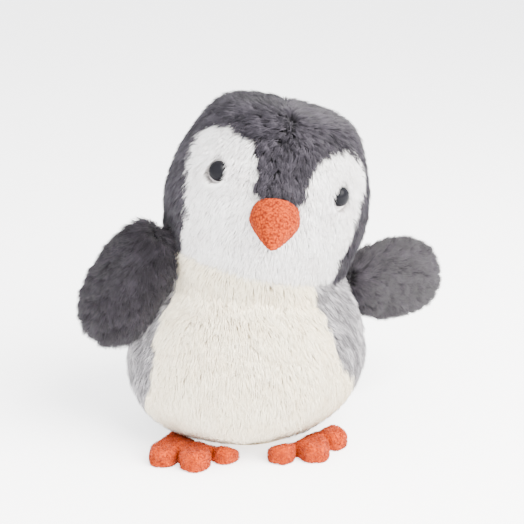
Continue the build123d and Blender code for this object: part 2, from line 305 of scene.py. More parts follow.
SETTINGS = {
    "penguin_crown_pile": CrownPile,
    "penguin_face_pile": FacePile,
    "penguin_body_pile": BodyPile,
    "penguin_flipper_pile": FlipperPile,
    "penguin_foot_pile": FootPile,
    "penguin_body": BodyShape,
    "penguin_head": HeadShape,
    "penguin_beak": BeakShape,
    "penguin_colours": Colours,
    "penguin_stage": Stage,
}


# ---- measuring the frame


def unit(vectors):
    """The vectors, each made one long."""
    return vectors / np.maximum(np.linalg.norm(vectors, axis=-1, keepdims=True), 1e-12)


def joint(name):
    """A joint's place and axis, as arrays."""
    found = next(j for j in frame["joints"] if j["name"] == name)
    return np.array(found["pos_m"], float), unit(np.array(found["axis"], float))


def points_on(*nodes):
    """Points all along the edges of these nodes' faces."""
    found = []
    for node in nodes:
        mesh = frame["nodes"][node].data
        corners = np.empty(len(mesh.vertices) * 3, np.float32)
        mesh.vertices.foreach_get("co", corners)
        corners = corners.reshape(-1, 3).astype(float)
        edges = np.empty(len(mesh.edges) * 2, np.int32)
        mesh.edges.foreach_get("vertices", edges)
        edges = edges.reshape(-1, 2)
        for share in np.linspace(0, 1, 9):
            found.append(corners[edges[:, 0]] * (1 - share) + corners[edges[:, 1]] * share)
    return np.concatenate(found)


class Turned:
    """A body of revolution: its place, its axis, its front and its measured outline."""

    def __init__(self, origin, axis, front, nodes, low, high, steps=160):
        self.origin = origin
        self.axis = axis
        self.front = unit(front - axis * np.dot(front, axis))
        self.across = np.cross(axis, self.front)
        local = points_on(*nodes) - origin
        heights = local @ axis
        radii = np.linalg.norm(local - heights[:, None] * axis, axis=1)
        levels = np.linspace(low, high, steps)
        spread = (high - low) / steps
        measured = np.array([radii[np.abs(heights - level) < spread].max(initial=0) for level in levels])
        self.heights, self.radii = levels[measured > 0], measured[measured > 0]

    def radius(self, height):
        return np.interp(height, self.heights, self.radii)

    def place(self, azimuth, height, radius):
        """Points at these turns from straight ahead (positive to the toy's left), heights and radii."""
        around = np.sin(azimuth)[:, None] * self.across + np.cos(azimuth)[:, None] * self.front
        return self.origin + height[:, None] * self.axis + radius[:, None] * around

    def local(self, points):
        """The turn from straight ahead and the height of each point."""
        away = points - self.origin
        height = away @ self.axis
        return np.arctan2(away @ self.across, away @ self.front), height


NECK, NECK_AXIS = joint("neck_turn")
TORSO = Turned(
    np.zeros(3),
    np.array([0, 0, 1.0]),
    np.array([0, -1.0, 0]),
    ("belly_panel", "back_panel_left", "back_panel_right", "base_panel"),
    0.0,
    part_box("back_panel_right")[1].z,
)
EYE_MIDDLES = [sum(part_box(f"eye_{side}"), Vector()) / 2 for side in SIDES]
HEAD = Turned(
    NECK,
    NECK_AXIS,
    np.array(EYE_MIDDLES[0] + EYE_MIDDLES[1]) / 2 - NECK,
    ("face_panel", "crown_left", "crown_right"),
    0.0,
    HEAD_RISE,
)


# ---- meshes


def grid(surface, columns, rows):
    """Points and quads of a surface given as a function of two shares from 0 to 1."""
    along, up = np.meshgrid(np.linspace(0, 1, columns + 1), np.linspace(0, 1, rows + 1))
    points = surface(along.ravel(), up.ravel())
    corner = (np.arange(rows)[:, None] * (columns + 1) + np.arange(columns)).ravel()
    quads = np.stack([corner, corner + 1, corner + columns + 2, corner + columns + 1], 1)
    return points, quads


def new_piece(name, points, faces):
    """A smooth mesh object with these points and faces, all of the same number of corners."""
    mesh = bpy.data.meshes.new(name)
    sides = faces.shape[1]
    mesh.vertices.add(len(points))
    mesh.vertices.foreach_set("co", points.astype(np.float32).ravel())
    mesh.loops.add(faces.size)
    mesh.loops.foreach_set("vertex_index", faces.astype(np.int32).ravel())
    mesh.polygons.add(len(faces))
    mesh.polygons.foreach_set("loop_start", np.arange(0, faces.size, sides, dtype=np.int32))
    mesh.polygons.foreach_set("use_smooth", np.ones(len(faces), bool))
    mesh.update(calc_edges=True)
    piece = bpy.data.objects.new(name, mesh)
    bpy.context.scene.collection.objects.link(piece)
    return piece


def merged(piece, distance=0.05 * MM):
    """Joins the grid's doubled points and turns all faces outward."""
    work = bmesh.new()
    work.from_mesh(piece.data)
    bmesh.ops.remove_doubles(work, verts=work.verts, dist=distance)
    bmesh.ops.recalc_face_normals(work, faces=work.faces)
    work.to_mesh(piece.data)
    work.free()
    piece.data.update()
    return piece


def surface_of(piece):
    """Corner points, their normals, and triangles of a piece."""
    mesh = piece.data
    mesh.calc_loop_triangles()
    points = np.empty(len(mesh.vertices) * 3, np.float32)
    mesh.vertices.foreach_get("co", points)
    normals = np.empty(len(mesh.vertices) * 3, np.float32)
    mesh.vertex_normals.foreach_get("vector", normals)
    triangles = np.empty(len(mesh.loop_triangles) * 3, np.int32)
    mesh.loop_triangles.foreach_get("vertices", triangles)
    return (
        points.reshape(-1, 3).astype(float),
        normals.reshape(-1, 3).astype(float),
        triangles.reshape(-1, 3),
    )


def scattered(surface, count, rng):
    """Evenly scattered points of a surface, with their normals."""
    points, normals, triangles = surface
    corners = points[triangles]
    areas = np.linalg.norm(np.cross(corners[:, 1] - corners[:, 0], corners[:, 2] - corners[:, 0]), axis=1)
    chosen = rng.choice(len(triangles), count, p=areas / areas.sum())
    first, second = rng.random(count), rng.random(count)
    folded = first + second > 1
    first[folded], second[folded] = 1 - first[folded], 1 - second[folded]
    shares = np.stack([1 - first - second, first, second], 1)[:, :, None]
    return (corners[chosen] * shares).sum(1), unit((normals[triangles[chosen]] * shares).sum(1))


def slow_noise(points, size, seed):
    """A random value of about -1 to 1 that changes slowly over this distance."""
    rng = np.random.default_rng(seed)
    waves = unit(rng.normal(size=(7, 3))) * rng.uniform(0.6, 1.6, (7, 1)) / size
    starts = rng.uniform(0, 2 * math.pi, 7)
    return np.sin(points @ waves.T * 2 * math.pi + starts).sum(1) / 3.2


def uneven_tone(middle, swing, size, seed):
    """A strand's shade as a function of its root: a middle shade that swings slowly."""

    def tone(roots):
        return middle + swing * slow_noise(roots, size, seed)

    return tone


def turned_about(vectors, axes, angles):
    """The vectors turned about unit axes that stand square to them."""
    return vectors * np.cos(angles)[:, None] + np.cross(axes, vectors) * np.sin(angles)[:, None]


def pile(name, surface, settings, heading, inside, tone, seed, spare, lowest=None, erect=None):
    """A piece of pile: strands rooted on a surface, whose tips lie inside a region.

    heading gives the flow of the pile at each root, inside tells which tips belong to the piece,
    and tone gives each strand's shade from 0 to 1. spare is the number of roots tried for each
    strand wanted, lowest keeps tips above a height, and erect tells how far each strand stands up,
    from 0 to 1.
    """
    rng = np.random.default_rng(seed)
    roots, normals = scattered(surface, int(settings.strands * spare), rng)
    flow = heading(roots)
    flow = unit(flow - normals * (flow * normals).sum(1, keepdims=True))
    strays = settings.wander * (slow_noise(roots, FLOW_SIZE, seed + 1) + 0.4 * rng.normal(size=len(roots)))
    flow = turned_about(flow, normals, strays)
    lean = settings.lean * (1 + 0.25 * slow_noise(roots, LEAN_SIZE, seed + 2))[:, None]
    tip_lean = np.full_like(lean, settings.tip_lean)
    if erect is not None:
        upright = 1 - 0.75 * erect(roots)[:, None]
        lean, tip_lean = lean * upright, tip_lean * upright
    lengths = settings.length * rng.uniform(0.72, 1.12, len(roots))[:, None]
    middles = roots + (normals * np.cos(lean) + flow * np.sin(lean)) * lengths * 0.5
    tips = middles + (normals * np.cos(tip_lean) + flow * np.sin(tip_lean)) * lengths * 0.5
    floor = FLOOR_GAP if lowest is None else lowest(roots)
    middles[:, 2] = np.maximum(middles[:, 2], floor)
    tips[:, 2] = np.maximum(tips[:, 2], floor + rng.uniform(0, 1.8, len(tips)) * MM)

    kept = np.flatnonzero(inside(roots, tips))[: settings.strands]
    roots, normals, flow, middles, tips = (a[kept] for a in (roots, normals, flow, middles, tips))
    count = len(roots)

    area = np.linalg.norm(np.ptp(roots, axis=0)) ** 2
    leaders = min(count, max(8, int(area / settings.lock**2)))
    tree = kdtree.KDTree(leaders)
    for number, root in enumerate(roots[:leaders]):
        tree.insert(root, number)
    tree.balance()
    lock = np.array([tree.find(root)[1] for root in roots])
    draw = settings.gather * rng.uniform(0.5, 1.2, (count, 1))
    tips = tips + (tips[lock] - tips) * draw
    middles = middles + (middles[lock] - middles) * draw * 0.45

    shades = tone(roots) + 0.18 * rng.normal(size=count) + 0.15 * rng.normal(size=leaders)[lock]
    shades = np.clip(shades, 0.02, 0.98)
    side = unit(np.cross(middles - roots, flow + normals * 0.3))
    over = unit(np.cross(side, middles - roots))
    half = settings.width / 2 * rng.uniform(0.75, 1.2, (count, 1))
    rings = []
    for centre, share in ((roots - normals * ROOT_DEPTH, 1.0), (middles, 0.85)):
        for angle in PRISM_TURNS:
            rings.append(centre + (side * math.cos(angle) + over * math.sin(angle)) * half * share)
    corners = np.stack([*rings, tips], 1).reshape(-1, 3)
    pattern = [(2, 1, 0)]
    for a, b in ((0, 1), (1, 2), (2, 0)):
        pattern += [(a, b, b + 3), (a, b + 3, a + 3), (a + 3, b + 3, 6)]
    faces = (np.arange(count)[:, None, None] * STRAND_CORNERS + np.array(pattern)).reshape(-1, 3)
    piece = new_piece(name, corners, faces)

    along = np.tile([0, 0, 0, 0.5, 0.5, 0.5, 1.0], count)
    shade = np.repeat(shades, STRAND_CORNERS) + np.tile([-0.01, 0, 0.01, -0.01, 0, 0.01, 0], count)
    for label, values in (("pile_along", along), ("pile_shade", shade)):
        attribute = piece.data.attributes.new(label, "FLOAT", "POINT")
        attribute.data.foreach_set("value", values.astype(np.float32))
    chart = piece.data.uv_layers.new(name="OFBake")
    places = np.stack([0.01 + 0.98 * shade, 0.02 + 0.96 * along], 1)[faces.ravel()]
    chart.uv.foreach_set("vector", places.astype(np.float32).ravel())
    return piece


def pile_layers(name, layers, material, body, slot, *given, seed, **others):
    """Several pieces of pile on the same surface, so that it is dense enough."""
    for layer in range(layers):
        piece = pile(f"{name}_{layer + 1}", *given, seed=seed + 50 * layer, **others)
        finish_piece(piece, material, body)


# ---- materials


def new_group(name, inputs, output):
    """An empty node group with these inputs (name, kind, default) and one output."""
    group = bpy.data.node_groups.new(name, "ShaderNodeTree")
    for label, kind, default in inputs:
        socket = group.interface.new_socket(name=label, in_out="INPUT", socket_type=f"NodeSocket{kind}")
        socket.default_value = default
    group.interface.new_socket(name=output[0], in_out="OUTPUT", socket_type=f"NodeSocket{output[1]}")
    return group, group.nodes.new("NodeGroupInput"), group.nodes.new("NodeGroupOutput")


def mixed(tree, factor, first, second):
    """A colour mix of two sockets by a third."""
    mix = tree.nodes.new("ShaderNodeMix")
    mix.data_type = "RGBA"
    tree.links.new(factor, mix.inputs["Factor"])
    tree.links.new(first, mix.inputs[6])
    tree.links.new(second, mix.inputs[7])
    return mix.outputs[2]


def ranged(tree, value, low, high):
    """The value's place between low and high, eased, from 0 to 1."""
    node = tree.nodes.new("ShaderNodeMapRange")
    node.interpolation_type = "SMOOTHSTEP"
    node.inputs["From Min"].default_value = low
    node.inputs["From Max"].default_value = high
    tree.links.new(value, node.inputs["Value"])
    return node.outputs["Result"]


def strand_shade_group():
    """Colour of a strand: from the root colour, painted shade deep in the pile, to its body along it, and dark to
    light from strand to strand.
    """
    if "strand_shade" in bpy.data.node_groups:
        return bpy.data.node_groups["strand_shade"]
    grey = (0.5, 0.5, 0.5, 1)
    group, given, result = new_group(
        "strand_shade",
        (
            ("Along", "Float", 0.5),
            ("Shade", "Float", 0.5),
            ("Root", "Color", grey),
            ("Dark", "Color", grey),
            ("Light", "Color", grey),
        ),
        ("Color", "Color"),
    )
    strand = ranged(group, given.outputs["Shade"], 0.1, 0.9)
    body = mixed(group, strand, given.outputs["Dark"], given.outputs["Light"])
    # the lower part of every strand takes the root colour: painted shade deep in the pile
    above_root = ranged(group, given.outputs["Along"], 0.0, 0.62)
    shaded = mixed(group, above_root, given.outputs["Root"], body)
    group.links.new(shaded, result.inputs["Color"])
    return group


def cloth_grain_group():
    """Mottled mask of looped or knitted cloth, from its own size."""
    if "cloth_grain" in bpy.data.node_groups:
        return bpy.data.node_groups["cloth_grain"]
    group, given, result = new_group("cloth_grain", (("Scale", "Float", 500.0),), ("Mask", "Float"))
    place = group.nodes.new("ShaderNodeTexCoord")
    cells = group.nodes.new("ShaderNodeTexVoronoi")
    cells.feature = "SMOOTH_F1"
    grain = group.nodes.new("ShaderNodeTexNoise")
    grain.inputs["Detail"].default_value = 4
    group.links.new(given.outputs["Scale"], cells.inputs["Scale"])
    group.links.new(given.outputs["Scale"], grain.inputs["Scale"])
    group.links.new(place.outputs["Object"], cells.inputs["Vector"])
    group.links.new(place.outputs["Object"], grain.inputs["Vector"])
    nubs = ranged(group, cells.outputs["Distance"], 0.75, 0.05)
    blend = group.nodes.new("ShaderNodeMath")
    blend.operation = "MULTIPLY_ADD"
    blend.inputs[1].default_value = 0.65
    weak = group.nodes.new("ShaderNodeMath")
    weak.operation = "MULTIPLY"
    weak.inputs[1].default_value = 0.45
    group.links.new(grain.outputs["Fac"], weak.inputs[0])
    group.links.new(nubs, blend.inputs[0])
    group.links.new(weak.outputs[0], blend.inputs[2])
    group.links.new(blend.outputs[0], result.inputs["Mask"])
    return group


def new_material(name, roughness, sheen=0.0, sheen_roughness=0.5):
    """A material with one Principled BSDF."""
    material = bpy.data.materials.new(name)
    material.use_nodes = True
    shader = material.node_tree.nodes["Principled BSDF"]
    shader.inputs["Roughness"].default_value = roughness
    shader.inputs["Specular IOR Level"].default_value = 0.1
    shader.inputs["Sheen Weight"].default_value = sheen
    shader.inputs["Sheen Roughness"].default_value = sheen_roughness
    return material, material.node_tree, shader


def pile_material(name, root, dark, light, sheen=0.06):
    """Fur pile, from its root colour, which is painted shade deep in the pile, and its darkest and lightest
    strands.
    """
    material, tree, shader = new_material(name, 0.75, sheen)
    shade = tree.nodes.new("ShaderNodeGroup")
    shade.node_tree = strand_shade_group()
    for label, colour in (("Root", root), ("Dark", dark), ("Light", light)):
        shade.inputs[label].default_value = (*colour, 1)
    for label, attribute in (("Along", "pile_along"), ("Shade", "pile_shade")):
        node = tree.nodes.new("ShaderNodeAttribute")
        node.attribute_name = attribute
        tree.links.new(node.outputs["Fac"], shade.inputs[label])
    tree.links.new(shade.outputs["Color"], shader.inputs["Base Color"])
    return material


def cloth_material(name, dark, light, scale, bump, sheen=0.1):
    """Cloth with a mottled colour and a raised grain; the colour follows the grain, darker in its hollows and
    lighter on its nubs: painted shade and painted light.
    """
    material, tree, shader = new_material(name, 0.9, sheen)
    grain = tree.nodes.new("ShaderNodeGroup")
    grain.node_tree = cloth_grain_group()
    grain.inputs["Scale"].default_value = scale
    ramp = tree.nodes.new("ShaderNodeValToRGB")
    ramp.color_ramp.elements[0].position = 0.2
    ramp.color_ramp.elements[1].position = 0.8
    ramp.color_ramp.elements[0].color = (*dark, 1)
    ramp.color_ramp.elements[1].color = (*light, 1)
    raised = tree.nodes.new("ShaderNodeBump")
    raised.inputs["Strength"].default_value = 0.8
    raised.inputs["Distance"].default_value = bump
    # the same mask sets colour and height: the dark colour lies in the hollows, painted shade
    tree.links.new(grain.outputs["Mask"], ramp.inputs["Fac"])
    tree.links.new(grain.outputs["Mask"], raised.inputs["Height"])
    tree.links.new(ramp.outputs["Color"], shader.inputs["Base Color"])
    tree.links.new(raised.outputs["Normal"], shader.inputs["Normal"])
    return material


def plush_materials(kind, colours):
    """The backing cloth and the pile of one kind of plush; the backing runs from the root colour to the dark one,
    painted shade showing between the strands.
    """
    root, dark, light = (getattr(colours, f"{kind}_{part}") for part in ("root", "dark", "light"))
    backing = cloth_material(f"{kind}_backing", root, dark, BACKING_GRAIN, BACKING_BUMP)
    return backing, pile_material(f"{kind}_pile", root, dark, light)


def finish_piece(piece, material, body, nodes=()):
    """Gives a piece its material and its body, and hides the nodes it stands for."""
    piece.data.materials.clear()
    piece.data.materials.append(material)
    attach(piece, body)
    if nodes:
        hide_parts(*nodes)


# ---- body


def slump(height):
    """How far the soft body leans to the toy's left at each height."""
    heights = np.array([0, 16, 26, 41, 86, 100]) * MM
    leans = np.array([-1.5, -3.2, -1.7, 0, 2.6, 3.2]) * MM
    return np.interp(height, heights, leans)


def neck_line(azimuth, radius):
    """The height at which the tilted neck cuts the body, at this turn and radius."""
    x = radius * np.sin(azimuth)
    y = -radius * np.cos(azimuth)
    return NECK[2] - ((x - NECK[0]) * NECK_AXIS[0] + y * NECK_AXIS[1]) / NECK_AXIS[2]


def front_lift(azimuth):
    """How far the front of the seat is lifted off the floor, over the feet, at each turn."""
    return SEAT_LIFT * np.sqrt(np.clip(np.cos(azimuth), 0, 1))


def depth_near_neck(depth, away):
    """Depth of the cloth below the pile's tips: the pile is pressed thin where body and head meet."""
    pressed = 0.35
    return depth * (pressed + (1 - pressed) * np.clip(away / NECK_PILE, 0, 1) ** 0.7)


def torso_points(azimuth, up, depth):
    """Points of the body's cloth: up runs from the seat's edge to the neck, then in over the neck."""
    shown = 1 - TUCKED
    neck_height = 92 * MM
    top = neck_line(azimuth, TORSO.radius(np.full_like(azimuth, neck_height)))
    height = np.maximum(top * np.minimum(up / shown, 1) ** 0.85, 0.3 * MM)
    depth = depth_near_neck(depth, top - height)
    inward = np.where(up > shown, 1 - (up - shown) / TUCKED, 1)
    radius = (TORSO.radius(height) - depth * np.minimum(height / (6 * MM), 1)) * inward
    near_seat = np.clip(height / (3 * MM), 0, 1) * np.exp(-((height / (15 * MM)) ** 2))
    lifted = height + front_lift(azimuth) * near_seat
    height = np.where(up > shown, neck_line(azimuth, radius), lifted)
    points = TORSO.place(azimuth, height, radius)
    points[:, 0] += slump(height)
    return points


def seam_turn(height, side, shape):
    """The turn of a belly seam from straight ahead at this height."""
    heights = np.array([14, 28, 43, 90]) * MM
    belly = shape.seam_left if side == "left" else shape.seam_right
    shoulder = shape.shoulder_left if side == "left" else shape.shoulder_right
    return np.interp(height, heights, [shape.seam_seat, shape.seam_hip, belly, shoulder])


class PENGUIN_OT_body(bpy.types.Operator):
    """Makes the cloth and the pile of the seated body"""

    bl_idname = "penguin.body"
    bl_label = "Body"

    def execute(self, context):
        scene = context.scene
        shape, settings, colours = scene.penguin_body, scene.penguin_body_pile, scene.penguin_colours
        cream_cloth, cream = plush_materials("cream", colours)
        silver_cloth, silver = plush_materials("silver", colours)

        def panel(name, first, last):
            def surface(along, up):
                rough_height = up * NECK[2]
                start, end = first(rough_height), last(rough_height)
                return torso_points(start + (end - start) * along, up, shape.depth)

            return merged(new_piece(name, *grid(surface, 64, 72)))

        def left(height):
            return seam_turn(height, "left", shape)

        def right(height):
            return -seam_turn(height, "right", shape)

        def behind(height):
            return np.full_like(height, math.pi)

        def behind_right(height):
            return -behind(height)

        belly = panel("belly_cloth", right, left)
        backs = {
            "left": panel("back_cloth_left", left, behind),
            "right": panel("back_cloth_right", behind_right, right),
        }

        def shown_form(along, up):
            return torso_points(along * 2 * math.pi, up * (1 - TUCKED), shape.depth)

        whole = new_piece("body_form", *grid(shown_form, 160, 80))
        form = surface_of(merged(whole))
        bpy.data.objects.remove(whole)

        def heading(roots):
            away = roots - np.array([0, 0, roots[:, 2].mean()])
            away[:, 2] = 0
            return np.array([0, 0, -1.0]) + unit(away) * 0.15

        def in_belly(roots, tips):
            turn, height = TORSO.local(tips)
            limit = np.where(turn < 0, -right(height), left(height))
            return np.abs(turn) < limit + 0.03 * slow_noise(tips, 9 * MM, 5)

        cream_tone = uneven_tone(middle=0.55, swing=0.18, size=18 * MM, seed=12)

        def silver_tone(roots):
            drawn_out = np.array([1, 1, 0.35])  # so that the shades run in upright streaks
            return uneven_tone(middle=0.38, swing=0.2, size=6 * MM, seed=13)(roots * drawn_out)

        nodes = ("belly_panel", "body_stuffing", "pellet_bag", "pellet_fill")
        finish_piece(belly, cream_cloth, "torso", nodes)

        def lowest(roots):
            return FLOOR_GAP + front_lift(TORSO.local(roots)[0]) * 0.8

        def erect(roots):
            turn, height = TORSO.local(roots)
            below_neck = neck_line(turn, TORSO.radius(height)) - height
            return np.clip(1 - below_neck / (11 * MM), 0, 1) ** 1.5

        shared = {"spare": 3.6, "lowest": lowest, "erect": erect}
        pile_layers(
            "belly_pile", 2, cream, "torso", "cream_plush",
            form, settings, heading, in_belly, cream_tone, seed=SEEDS["belly"], **shared,
        )
        for number, side in enumerate(SIDES):

            def in_back(roots, tips):
                return ~in_belly(roots, tips) & (roots[:, 0] * SIGNS[side] > 0)

            pile_layers(
                f"back_pile_{side}", 1, silver, "torso", "silver_plush",
                form, settings, heading, in_back, silver_tone, seed=SEEDS["back"] + number, **shared,
            )
            nodes = (f"back_panel_{side}",)
            finish_piece(backs[side], silver_cloth, "torso", nodes)

        radius = TORSO.radius(0.5 * MM)

        def seat_points(along, up):
            height = (0.1 + 0.54 * np.sin(up * math.pi / 2) ** 6) * MM
            return TORSO.place(along * 2 * math.pi, height, radius * (1 - up))

        seat = merged(new_piece("seat_cloth", *grid(seat_points, 72, 12)))
        finish_piece(seat, cream_cloth, "torso", ("base_panel",))
        return {"FINISHED"}


# ---- head


def head_points(turn, up, depth):
    """Points of the head's cloth: up runs from in under the neck to the top of the dome."""
    top = HEAD.heights[-1]
    angle = np.clip((up - TUCKED) / (1 - TUCKED), 0, 1) * math.pi / 2
    share = np.sin(angle) ** 0.9
    height = share * top - (depth + DOME_PILE) * share**4
    inset = depth_near_neck(depth, height) * (1 - share**8)
    outline = np.where(share < 1, HEAD.radius(share * top) - inset, 0)
    radius = outline * np.minimum(up / TUCKED, 1)
    return HEAD.place(turn, height, radius)


def in_face(points, shape):
    """Whether points of the head lie within the white face's outline."""
    away = points - HEAD.origin
    height = away @ HEAD.axis
    spread = np.abs(away @ HEAD.across)
    beside_lobe = (spread - shape.lobe_spacing) / shape.lobe_width
    above_lobe = (height - shape.lobe_rise) / shape.lobe_height
    lobe = beside_lobe**2 + above_lobe**2
    share = np.clip(height / shape.lobe_rise, 0, 1)
    outer = shape.chin_width + (shape.lobe_spacing + shape.lobe_width - shape.chin_width) * share
    beside_brow = np.clip((height - shape.brow_rise) / (8 * MM), 0, 1)
    inner = (shape.lobe_spacing - shape.lobe_width) * beside_brow
    chin = (height < shape.lobe_rise) & (spread < outer) & (spread >= inner)
    return ((lobe < 1) | chin) & (away @ HEAD.front > 0)


class PENGUIN_OT_head(bpy.types.Operator):
    """Makes the cloth and the pile of the head"""

    bl_idname = "penguin.head"
    bl_label = "Head"

    def execute(self, context):
        scene = context.scene
        shape, colours = scene.penguin_head, scene.penguin_colours
        charcoal_cloth, charcoal_pile = plush_materials("charcoal", colours)
        white_cloth, white_pile = plush_materials("white", colours)

        def whole_head(along, up):
            return head_points(along * 2 * math.pi, up, shape.depth)

        points, quads = grid(whole_head, 160, 80)
        centres = points[quads].mean(1)
        white = in_face(centres, shape)
        left = (centres - HEAD.origin) @ HEAD.across > 0
        cloths = {
            "face_cloth": (white, white_cloth, "white_plush", ("face_panel", "head_stuffing")),
            "crown_cloth_left": (~white & left, charcoal_cloth, "charcoal_plush", ("crown_left",)),
            "crown_cloth_right": (~white & ~left, charcoal_cloth, "charcoal_plush", ("crown_right",)),
        }
        whole = merged(new_piece("head_form", points, quads))
        form = surface_of(whole)
        bpy.data.objects.remove(whole)
        for name, (region, material, slot, nodes) in cloths.items():
            used, faces = np.unique(quads[region], return_inverse=True)
            cloth = new_piece(name, points[used], faces.reshape(-1, 4))
            finish_piece(merged(cloth), material, "head", nodes)

        eyes = [np.array(middle) for middle in EYE_MIDDLES]

        def clear_of_eyes(roots, tips):
            clear = np.ones(len(roots), bool)
            for eye in eyes:
                outward = unit(eye - HEAD.origin - HEAD.axis * EYE_RISE)
                for ends, clearance in ((roots, EYE_CLEARANCE["roots"]), (tips, EYE_CLEARANCE["tips"])):
                    away = ends - eye
                    away = away - outward * (away @ outward)[:, None]
                    clear &= np.linalg.norm(away, axis=1) > clearance
            return clear

        def heading(roots):
            away = roots - HEAD.origin
            height = away @ HEAD.axis
            across = away @ HEAD.across
            ahead = away @ HEAD.front
            spread = np.abs(across)
            parting = np.clip(spread / PARTING, 0, 1) * np.clip(0.9 - spread / CROWN_SPREAD, 0.1, 0.9)
            out = np.sign(across)[:, None] * HEAD.across * parting[:, None]
            high = np.clip((height - DOME_START) / DOME_BLEND, 0, 1)[:, None]
            back = -HEAD.front * 0.35 * high
            brow = (spread < BROW_HALF) & (ahead > 0) & (height < BROW_TOP)
            return -HEAD.axis + out * np.where(brow, 0.15, 1)[:, None] * (0.45 + high) + back

        def white_tips(tips):
            return in_face(tips + 1.2 * MM * slow_noise(tips, 6 * MM, 21)[:, None], shape)

        def on_face(roots, tips):
            return white_tips(tips) & clear_of_eyes(roots, tips)

        white_tone = uneven_tone(middle=0.6, swing=0.15, size=14 * MM, seed=22)

        def charcoal_tone(roots):
            broad = uneven_tone(middle=0.45, swing=0.2, size=12 * MM, seed=23)
            return broad(roots) + 0.12 * slow_noise(roots, 4 * MM, 24)

        pile_layers(
            "face_pile", 2, white_pile, "head", "white_plush",
            form, scene.penguin_face_pile, heading, on_face, white_tone, seed=SEEDS["face"], spare=4.5,
        )
        for number, side in enumerate(SIDES):

            def on_crown(roots, tips):
                beside = (roots - HEAD.origin) @ HEAD.across
                return ~white_tips(tips) & (beside * SIGNS[side] > 0)

            pile_layers(
                f"crown_pile_{side}", 2, charcoal_pile, "head", "charcoal_plush",
                form, scene.penguin_crown_pile, heading, on_crown, charcoal_tone,
                seed=SEEDS["crown"] + number, spare=3.4,
            )
        return {"FINISHED"}


class PENGUIN_OT_eyes(bpy.types.Operator):
    """Finishes the eyes and their washers"""

    bl_idname = "penguin.eyes"
    bl_label = "Eyes"

    def execute(self, context):
        colours = context.scene.penguin_colours
        gloss, tree, shader = new_material("eye_gloss", 0.16)
        shader.inputs["Specular IOR Level"].default_value = 0.05
        haze = tree.nodes.new("ShaderNodeTexNoise")
        haze.inputs["Scale"].default_value = 900
        haze_colour = [value * 1.8 for value in colours.eye]
        ramp = tree.nodes.new("ShaderNodeValToRGB")
        ramp.color_ramp.elements[0].color = (*colours.eye, 1)
        ramp.color_ramp.elements[1].color = (*haze_colour, 1)
        tree.links.new(haze.outputs["Fac"], ramp.inputs["Fac"])
        tree.links.new(ramp.outputs["Color"], shader.inputs["Base Color"])
        rough = ranged(tree, haze.outputs["Fac"], -1.2, 4.5)
        tree.links.new(rough, shader.inputs["Roughness"])
        # the darker grey lies in the hollows of the fine grain: painted shade
        washer_dark, washer_light = (0.62, 0.62, 0.60), (0.74, 0.74, 0.72)
        milky = cloth_material("washer_plastic", washer_dark, washer_light, PLASTIC_GRAIN, PLASTIC_BUMP, 0)
        for side in SIDES:
            for node, material in ((f"eye_{side}", gloss), (f"eye_washer_{side}", milky)):
                mesh = frame["nodes"][node].data
                mesh.materials.clear()
                mesh.materials.append(material)
        return {"FINISHED"}


class PENGUIN_OT_beak(bpy.types.Operator):
    """Makes the padded beak of nubby cloth"""

    bl_idname = "penguin.beak"
    bl_label = "Beak"

    def execute(self, context):
        scene = context.scene
        shape, colours = scene.penguin_beak, scene.penguin_colours
        root = HEAD.origin + HEAD.axis * shape.rise + HEAD.front * HEAD.radius(shape.rise)
        ahead = HEAD.front * math.cos(shape.droop) - HEAD.axis * math.sin(shape.droop)
        upward = np.cross(HEAD.across, ahead)

        def surface(along, up):
            reach = -shape.root + (shape.root + shape.length) * np.sin(up * math.pi / 2)
            share = np.clip(reach / shape.length, 0, 1)
            radius = shape.radius * (1 - share**1.15) ** 0.8
            turn = along * 2 * math.pi
            return (
                root
                + reach[:, None] * ahead
                + (radius * np.cos(turn))[:, None] * HEAD.across
                + (radius * shape.flatness * np.sin(turn))[:, None] * upward
            )

        beak = merged(new_piece("beak_cloth", *grid(surface, 200, 120)))
        points, normals, _ = surface_of(beak)
        raised = []
        for point in points:
            spot = Vector(point) / shape.nub_size
            near = noise.voronoi(spot)[0]
            raised.append((near[1] - near[0]) + 0.5 * noise.noise(spot * 2.3))
        raised = np.clip(np.array(raised), 0, 0.8)[:, None]
        nubby = points + normals * raised * shape.nub
        beak.data.vertices.foreach_set("co", nubby.astype(np.float32).ravel())
        beak.data.update()
        # dark in the hollows between the nubs and light on them: painted shade and painted light
        cloth = cloth_material(
            "beak_boucle", colours.beak_painted_shade, colours.beak_painted_light, BOUCLE_GRAIN, BOUCLE_BUMP, sheen=0.02
        )
        nodes = ("beak_upper", "beak_lower", "beak_stuffing")
        finish_piece(beak, cloth, "head", nodes)
        return {"FINISHED"}


# ---- flippers


